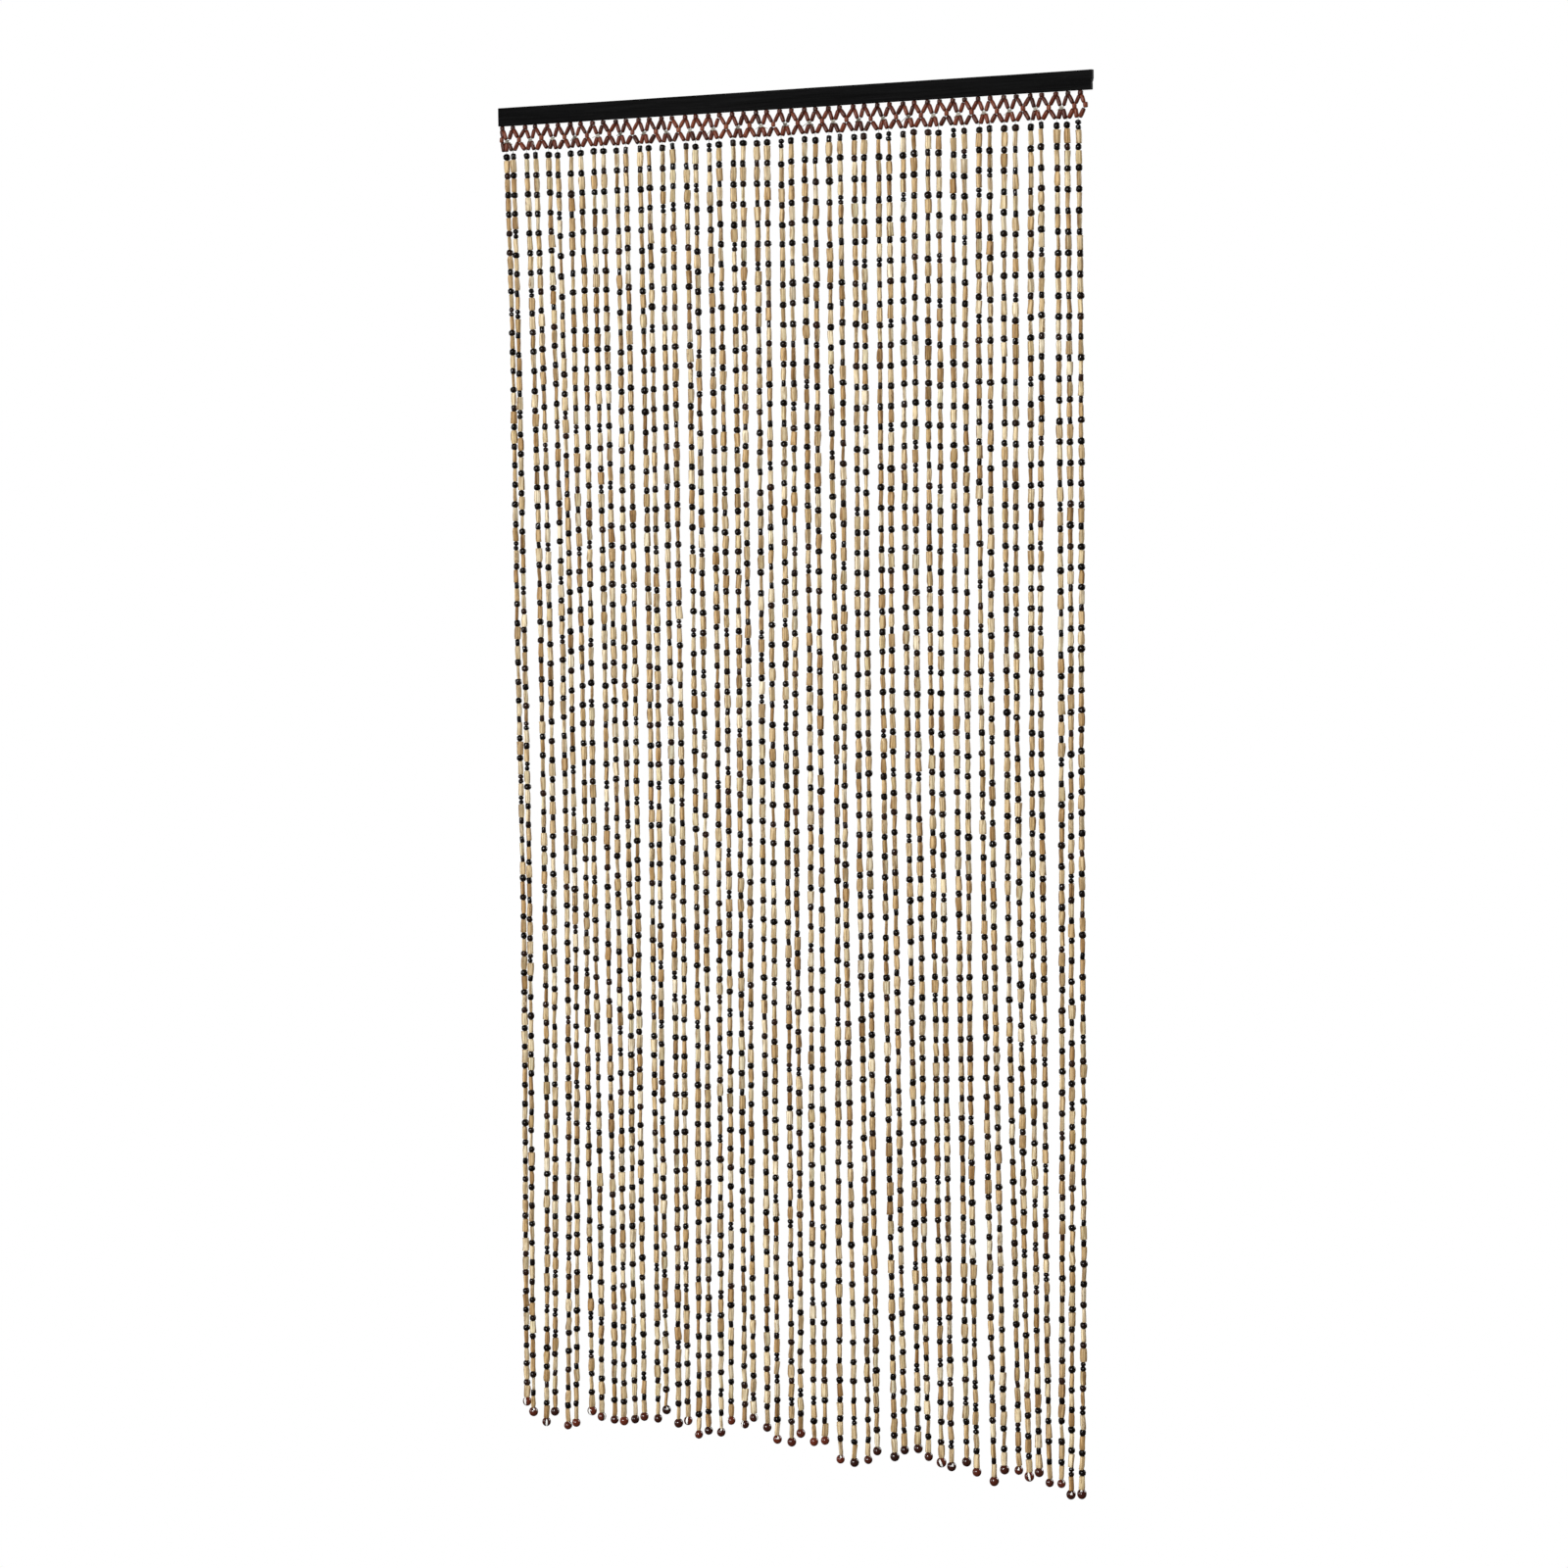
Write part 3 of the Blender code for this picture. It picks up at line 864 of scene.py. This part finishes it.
def endFinish():
    f = Finish("polishedSeed", IOR=1.5, Specular_IOR_Level=0.5, Coat_Weight=0.4, Coat_Roughness=0.06)
    tone = f.attribute("tone", "Color")
    local = f.attribute("grain", "Vector")
    own = local + tone * ownStretch
    cloud = f.noise(own, 0.35, 3.0)
    base = f.ramp(tone.part("r"), [
        (0.0, (0.020, 0.006, 0.004)), (0.40, (0.060, 0.012, 0.006)), (1.0, (0.135, 0.024, 0.010))])
    colour = base * (0.55 + cloud * 0.9)
    x, y, z = local.part("x"), local.part("y"), local.part("z")
    onSide = y < 0.0
    whole = tone.part("b") < 0.5
    shown = whole + (1 - whole) * (z - endBead["notchFrom"]).ease(0.0, 0.7)
    lens = 1 - (z / endBead["bandReach"]) ** 4.0
    # a dark zone round the band, wider on one side
    dark = (lens * 3.2 - abs(x + 0.7)).ease(0.0, 0.5) * onSide * shown
    colour = f.mix(dark * 0.85, colour, (0.008, 0.005, 0.004))
    pale = (lens * endBead["bandHalf"] - abs(x)).ease(0.0, 0.25) * onSide * shown
    colour = f.mix(pale, colour, (0.92, 0.91, 0.87))
    return f.wear(colour, 0.20 + cloud * 0.10 + pale * 0.3, cloud, 0.15, 0.0003)


def threadFinish():
    f = Finish("paleThread", Specular_IOR_Level=0.2)
    tone = f.attribute("tone", "Color")
    own = f.attribute("grain", "Vector") + tone * ownStretch
    fuzz = f.noise(own, 3.0, 3.0, 0.6)
    # its dark low end, which the knots take, is painted shade
    base = f.ramp(tone.part("r"), [
        (0.0, (0.17, 0.15, 0.115)), (0.45, (0.48, 0.45, 0.38)), (1.0, (0.74, 0.71, 0.64))])
    return f.wear(base * (0.8 + fuzz * 0.4), 0.85, fuzz, 0.5, 0.0002)


def railFinish():
    f = Finish("blackPaint", IOR=1.45, Specular_IOR_Level=0.035)
    place = f.add("ShaderNodeTexCoord", {}, {}, "Object")
    grain = f.noise(place * (9.0, 260.0, 700.0), 1.0, 4.0, 0.6)
    fibre = f.noise(place * (40.0, 900.0, 2600.0), 1.0, 2.0, 0.6)
    patch = f.noise(place * (3.0, 40.0, 60.0), 1.0, 3.0)
    level = 0.0034 + (grain - 0.5) * 0.0120 + (patch - 0.5) * 0.0060 + fibre.ease(0.58, 0.76) * 0.007
    colour = f.mix(level, (0.0, 0.0, 0.0), (1.0, 0.99, 1.02))
    return f.wear(colour, 0.50 + grain * 0.18, grain + fibre * 0.5, 0.45, 0.0004)


# The header rail

railMake = {
    "steps": (120, 22),                # along its length and up its height
    "edge": 0.0007,                    # rounding of the edges
    "uneven": 0.00018,                 # how far the planed faces wander
    "waves": ((11, 1.0), (27, 0.6), (71, 0.3)),      # radians in a metre, and share
    "wavesLie": 0.95,                  # how far below the level face they lie on average
    "seed": 11,
    "sharpFrom": 0.9,                  # radians between two faces whose edge is rounded
    "smoothUpTo": 40,                  # degrees between two faces that are shaded as one
    "notchHeight": -0.0150,            # saw notch in the right end
    "notchHalf": 0.0011,
    "notchDepth": 0.0017,
    "lowerSetBack": 0.0014,            # the right end is cut a little short below its notch
}


def makeRail(material):
    stock = railBody()
    stock.materials.append(material)
    piece = bpy.data.objects.new("headerBatten", stock)
    scene.collection.objects.link(piece)
    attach(piece, "root")
    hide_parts("header_rail")


def railBody():
    halfX, halfZ = rail["width"] / 2, rail["height"] / 2
    near = 0.0001
    bm = bmesh.new()
    bmesh.ops.create_cube(bm, size=1.0)
    for v in bm.verts:
        v.co = Vector((v.co.x * rail["width"], v.co.y * rail["depth"], v.co.z * rail["height"] - halfZ))
    long = [e for e in bm.edges if abs(e.verts[0].co.x - e.verts[1].co.x) > halfX]
    bmesh.ops.subdivide_edges(bm, edges=long, cuts=railMake["steps"][0], use_grid_fill=True)
    upright = [e for e in bm.edges if abs(e.verts[0].co.z - e.verts[1].co.z) > halfZ]
    bmesh.ops.subdivide_edges(bm, edges=upright, cuts=railMake["steps"][1], use_grid_fill=True)
    dice = np.random.RandomState(railMake["seed"])
    starts = dice.uniform(0, 2 * math.pi, len(railMake["waves"]))
    waves = [(rate, share, start) for (rate, share), start in zip(railMake["waves"], starts)]
    for v in bm.verts:
        x, z = v.co.x, v.co.z
        wave = sum(share * math.sin(x * rate + start) for rate, share, start in waves)
        if z > -near or z < near - rail["height"]:
            v.co.z += (wave / 2 - railMake["wavesLie"]) * railMake["uneven"] * (1 if z > -halfZ else -1)
        if x > halfX - near:
            inNotch = abs(z - railMake["notchHeight"]) < railMake["notchHalf"]
            v.co.x -= railMake["notchDepth"] if inNotch else 0
            v.co.x -= railMake["lowerSetBack"] if z < railMake["notchHeight"] and not inNotch else 0
    sharp = [e for e in bm.edges if len(e.link_faces) == 2 and e.calc_face_angle(0) > railMake["sharpFrom"]]
    bmesh.ops.bevel(bm, geom=sharp, offset=railMake["edge"], segments=2, profile=0.5, affect="EDGES")
    mesh = bpy.data.meshes.new("headerBatten")
    bm.to_mesh(mesh)
    bm.free()
    mesh.shade_smooth()
    mesh.set_sharp_from_angle(angle=math.radians(railMake["smoothUpTo"]))
    return mesh


def makeFloor():
    # pale enough to meet the backdrop without a line; the surroundings light the curtain in its place
    f = Finish("paleFloor", Roughness=0.9, Specular_IOR_Level=0.0, Emission_Strength=studio["white"])
    f.shader.inputs["Emission Color"].default_value = (1.0, 1.0, 1.0, 1.0)
    f.shader.inputs["Base Color"].default_value = (0.0, 0.0, 0.0, 1.0)
    bpy.ops.mesh.primitive_plane_add(size=studio["floorSize"], location=(0, 0, studio["floorLevel"]))
    floor = bpy.context.active_object
    floor.name = "paleFloor"
    floor.visible_diffuse = False
    floor.visible_glossy = False
    floor.visible_shadow = False
    floor.data.materials.append(f.material)


def makeCurtain():
    chance = random.Random(plan["seed"])
    dice = np.random.RandomState(stringMake["seed"])
    stems, crossings, vees = netLayout(chance)
    lines = [HangingString(i, vee, chance) for i, vee in enumerate(vees)]
    vees[0].x += netBead["firstVeeAside"]
    finishes = {"bamboo": bambooFinish(), "dark": darkFinish(), "net": netFinish(),
                "end": endFinish(), "thread": threadFinish()}
    netStock, threadStock, endStock = BeadStock(), BeadStock(), BeadStock()
    makeNet(stems, crossings, vees, dice, netStock, threadStock)
    netStock.make("netBeads", finishes["net"], "net_bead")
    print("net made")
    for number, first in enumerate(range(0, plan["strings"], stringMake["group"]), 1):
        bambooStock, darkStock = BeadStock(), BeadStock()
        for line in lines[first:first + stringMake["group"]]:
            makeString(line, dice, bambooStock, darkStock)
        bambooStock.make("bambooPieces_%d" % number, finishes["bamboo"], "bamboo")
        darkStock.make("darkBeads_%d" % number, finishes["dark"], "dark_seed")
    print("strings made")
    for line, vee in zip(lines, vees):
        angle = dice.normal(*endBead["frontTurn"])
        if dice.uniform(0, 1) > endBead["frontShare"]:
            angle = dice.uniform(*endBead["awayTurn"])
        turn = turnAbout(angle, *dice.uniform(-1, 1, 2) * endBead["lean"])
        place = line.at(line.endBead)
        size = dice.uniform(*endBead["sizes"])
        endStock.take(endShape() * size, turn, place, randomTone(dice))
        over, under, end = thread["core"]
        heights = np.linspace(vee.z + under, line.endBead + end, thread["coreSteps"])
        points = [np.array(vee + Vector((0, 0, over)))] + [line.at(h) for h in heights]
        layThread(threadStock, points, thread["radius"], randomTone(dice))
        knot = line.at(line.endBead + plan["endBeadHalf"] + thread["endKnotAbove"])
        tieKnot(threadStock, knot, dice, thread["endKnotSize"])
    endStock.make("endBeads", finishes["end"], "end_seed")
    threadStock.make("threads", finishes["thread"], "thread")
    print("end beads and threads made")


placeCamera()
placeLights()
makeBackdrop()
makeFloor()
makeRail(railFinish())
print("rail made")
makeCurtain()
